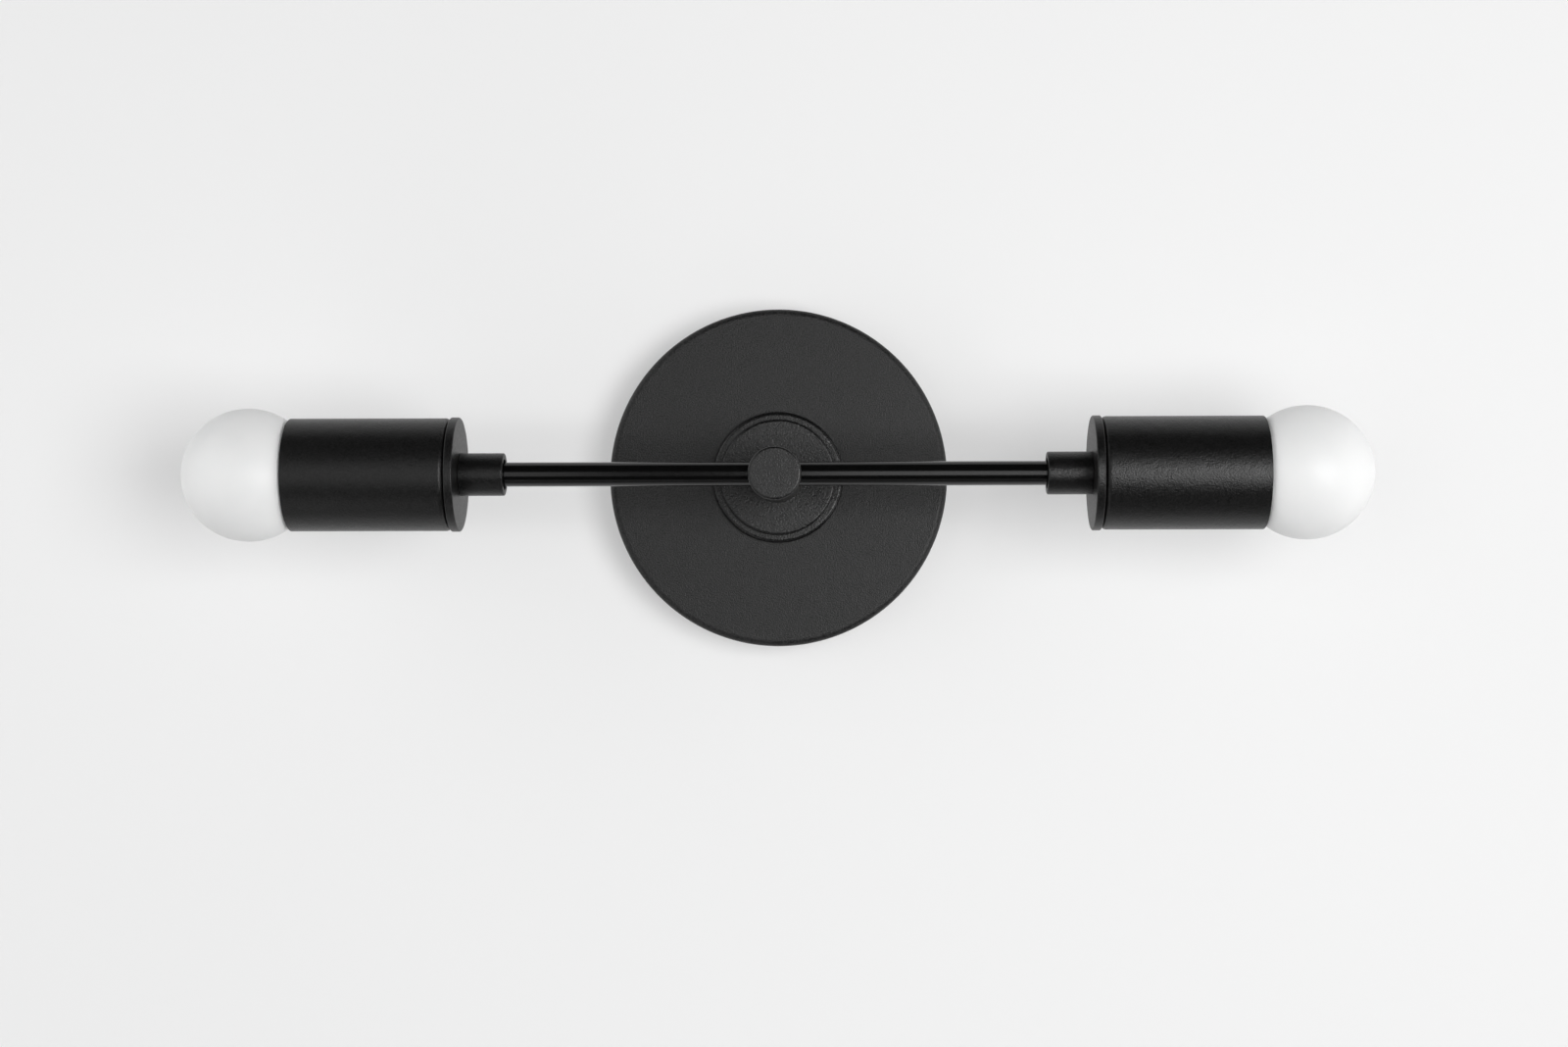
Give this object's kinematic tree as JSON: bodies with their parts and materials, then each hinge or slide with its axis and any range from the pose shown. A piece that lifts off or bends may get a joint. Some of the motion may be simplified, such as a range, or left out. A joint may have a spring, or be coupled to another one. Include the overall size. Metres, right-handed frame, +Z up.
{
  "type": "vanity light",
  "caption": "Straight bar vanity light: round wall pan, stepped rings, centre post, slim arms and open cylindrical cups, with frosted globe bulbs that screw out of porcelain lampholders.",
  "frame": {"origin": "on the wall plane, in the middle of the crossbar's two slots, on the axis of the post", "axes": "+Z up, +X to the right of someone facing the light, along the arms, +Y into the wall; the front looks along -Y"},
  "size_m": [0.4674, 0.0992, 0.1396],
  "materials": {
    "powder_coat": "matte black powder coat with a fine grain",
    "zinc_plate": "bright zinc plate, slightly mottled",
    "brass": "plain machined brass",
    "shell_brass": "drawn spring brass",
    "green_screw": "green passivated steel",
    "green_insulation": "smooth wire insulation",
    "black_insulation": "smooth wire insulation",
    "white_insulation": "smooth wire insulation",
    "ceramic": "white glazed porcelain",
    "frosted_glass": "white frosted glass, softly glossy",
    "clear_glass": "clear lead glass",
    "black_glass": "black moulded insulating glass",
    "base_aluminium": "bright rolled aluminium",
    "solder": "tinned brass contact",
    "tungsten": "tungsten coil on nickel wires"
  },
  "bodies": {
    "fixture": {"crossbar": "zinc_plate", "ground_screw": "green_screw", "ground_ring_terminal": "zinc_plate", "ground_wire": "green_insulation", "main_nipple": "zinc_plate", "main_lock_nut": "zinc_plate", "backplate": "powder_coat", "lower_ring": "powder_coat", "upper_ring": "powder_coat", "centre_post": "powder_coat", "left_arm": "powder_coat", "left_coupler": "powder_coat", "left_cup_disc": "powder_coat", "left_socket_cup": "powder_coat", "left_cup_nipple": "zinc_plate", "left_cup_lock_washer": "zinc_plate", "left_cup_lock_nut": "zinc_plate", "left_holder_bracket": "zinc_plate", "left_bracket_screws": "brass", "left_lampholder_body": "ceramic", "left_screw_shell": "shell_brass", "left_contact_spring": "shell_brass", "left_holder_rivets": "brass", "left_hot_wire": "black_insulation", "left_neutral_wire": "white_insulation", "right_arm": "powder_coat", "right_coupler": "powder_coat", "right_cup_disc": "powder_coat", "right_socket_cup": "powder_coat", "right_cup_nipple": "zinc_plate", "right_cup_lock_washer": "zinc_plate", "right_cup_lock_nut": "zinc_plate", "right_holder_bracket": "zinc_plate", "right_bracket_screws": "brass", "right_lampholder_body": "ceramic", "right_screw_shell": "shell_brass", "right_contact_spring": "shell_brass", "right_holder_rivets": "brass", "right_hot_wire": "black_insulation", "right_neutral_wire": "white_insulation"},
    "left_bulb_tip": {"left_bulb_contact": "solder"},
    "left_bulb": {"left_bulb_insulator": "black_glass", "left_bulb_base": "base_aluminium", "left_bulb_globe": "frosted_glass", "left_bulb_stem": "clear_glass", "left_bulb_filament": "tungsten"},
    "right_bulb_tip": {"right_bulb_contact": "solder"},
    "right_bulb": {"right_bulb_insulator": "black_glass", "right_bulb_base": "base_aluminium", "right_bulb_globe": "frosted_glass", "right_bulb_stem": "clear_glass", "right_bulb_filament": "tungsten"}
  },
  "joints": [
    {"name": "left_bulb_travel", "type": "slide", "parent": "fixture", "child": "left_bulb_tip", "axis": [-1, 0, 0], "range_m": [0, 0.01815]},
    {"name": "left_bulb_screw", "type": "hinge", "parent": "left_bulb_tip", "child": "left_bulb", "pos_m": [-0.17, -0.073, 0], "axis": [-1, 0, 0], "range_deg": [0, 1800]},
    {"name": "right_bulb_travel", "type": "slide", "parent": "fixture", "child": "right_bulb_tip", "axis": [1, 0, 0], "range_m": [0, 0.01815]},
    {"name": "right_bulb_screw", "type": "hinge", "parent": "right_bulb_tip", "child": "right_bulb", "pos_m": [0.17, -0.073, 0], "axis": [1, 0, 0], "range_deg": [0, 1800]}
  ],
  "couplings": [
    {"joint": "left_bulb_travel", "follows": "left_bulb_screw", "m_per_rad": 0.00057751},
    {"joint": "right_bulb_travel", "follows": "right_bulb_screw", "m_per_rad": 0.00057751}
  ]
}
